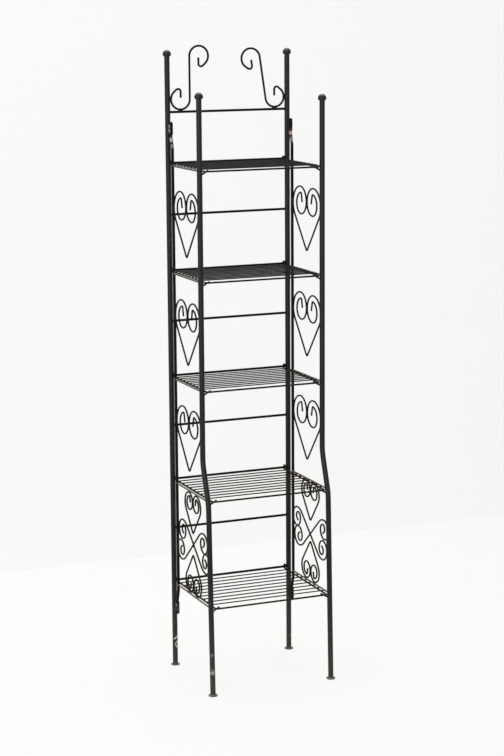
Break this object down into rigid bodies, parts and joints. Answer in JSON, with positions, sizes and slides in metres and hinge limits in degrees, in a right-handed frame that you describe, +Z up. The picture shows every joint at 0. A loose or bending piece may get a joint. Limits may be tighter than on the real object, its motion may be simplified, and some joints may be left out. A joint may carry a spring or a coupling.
{
  "type": "bakers rack",
  "caption": "Tall folding bakers rack of black tube and bent wire, with slatted shelves hinged at the back, heart and scroll side panels, ball finials and crest scrolls.",
  "frame": {"origin": "middle of the footprint, on the floor", "axes": "+X to the right as seen from the front, +Y to the back, +Z up; the rack faces -Y"},
  "size_m": [0.361, 0.3, 1.6618],
  "materials": {
    "post_paint": "worn semi-gloss black paint",
    "wire_paint": "semi-gloss black paint",
    "shelf_paint": "semi-gloss black paint, rubbed on top"
  },
  "bodies": {
    "back_frame": {"top_bar": "wire_paint", "shelf_rod_1": "wire_paint", "shelf_rod_2": "wire_paint", "shelf_rod_3": "wire_paint", "shelf_rod_4": "wire_paint", "shelf_rod_5": "wire_paint", "back_bar_1": "wire_paint", "back_bar_2": "wire_paint", "back_bar_3": "wire_paint", "back_bar_4": "wire_paint", "rear_post_left": "post_paint", "rear_finial_left": "post_paint", "rear_foot_left": "post_paint", "crest_scroll_left": "wire_paint", "hinge_upper_left": "wire_paint", "hinge_lower_left": "wire_paint", "rear_post_right": "post_paint", "rear_finial_right": "post_paint", "rear_foot_right": "post_paint", "crest_scroll_right": "wire_paint", "hinge_upper_right": "wire_paint", "hinge_lower_right": "wire_paint"},
    "panel_left": {"front_post_left": "post_paint", "front_finial_left": "post_paint", "front_foot_left": "post_paint", "hinge_rod_left": "wire_paint", "side_rails_left": "wire_paint", "heart_top_left": "wire_paint", "heart_middle_left": "wire_paint", "heart_bottom_left": "wire_paint", "hanging_heart_left": "wire_paint", "standing_heart_left": "wire_paint", "scroll_rising_left": "wire_paint", "scroll_falling_left": "wire_paint", "shelf_catches_left": "wire_paint"},
    "panel_right": {"front_post_right": "post_paint", "front_finial_right": "post_paint", "front_foot_right": "post_paint", "hinge_rod_right": "wire_paint", "side_rails_right": "wire_paint", "heart_top_right": "wire_paint", "heart_middle_right": "wire_paint", "heart_bottom_right": "wire_paint", "hanging_heart_right": "wire_paint", "standing_heart_right": "wire_paint", "scroll_rising_right": "wire_paint", "scroll_falling_right": "wire_paint", "shelf_catches_right": "wire_paint"},
    "shelf_1": {"shelf_1_frame": "shelf_paint", "shelf_1_slats": "shelf_paint"},
    "shelf_2": {"shelf_2_frame": "shelf_paint", "shelf_2_slats": "shelf_paint"},
    "shelf_3": {"shelf_3_frame": "shelf_paint", "shelf_3_slats": "shelf_paint"},
    "shelf_4": {"shelf_4_frame": "shelf_paint", "shelf_4_slats": "shelf_paint"},
    "shelf_5": {"shelf_5_frame": "shelf_paint", "shelf_5_slats": "shelf_paint"}
  },
  "joints": [
    {"name": "shelf_1_lift", "type": "hinge", "parent": "back_frame", "child": "shelf_1", "pos_m": [0, 0.138, 1.36], "axis": [-1, 0, 0], "range_deg": [0, 85]},
    {"name": "shelf_2_lift", "type": "hinge", "parent": "back_frame", "child": "shelf_2", "pos_m": [0, 0.138, 1.0795], "axis": [-1, 0, 0], "range_deg": [0, 85]},
    {"name": "shelf_3_lift", "type": "hinge", "parent": "back_frame", "child": "shelf_3", "pos_m": [0, 0.138, 0.799], "axis": [-1, 0, 0], "range_deg": [0, 85]},
    {"name": "shelf_4_lift", "type": "hinge", "parent": "back_frame", "child": "shelf_4", "pos_m": [0, 0.138, 0.5185], "axis": [-1, 0, 0], "range_deg": [0, 85]},
    {"name": "shelf_5_lift", "type": "hinge", "parent": "back_frame", "child": "shelf_5", "pos_m": [0, 0.138, 0.238], "axis": [-1, 0, 0], "range_deg": [0, 75]},
    {"name": "panel_left_swing", "type": "hinge", "parent": "back_frame", "child": "panel_left", "pos_m": [-0.1685, 0.116, 0.8], "axis": [0, 0, 1], "range_deg": [0, 0.3]},
    {"name": "panel_right_swing", "type": "hinge", "parent": "back_frame", "child": "panel_right", "pos_m": [0.1685, 0.116, 0.8], "axis": [0, 0, -1], "range_deg": [0, 0.3]}
  ]
}
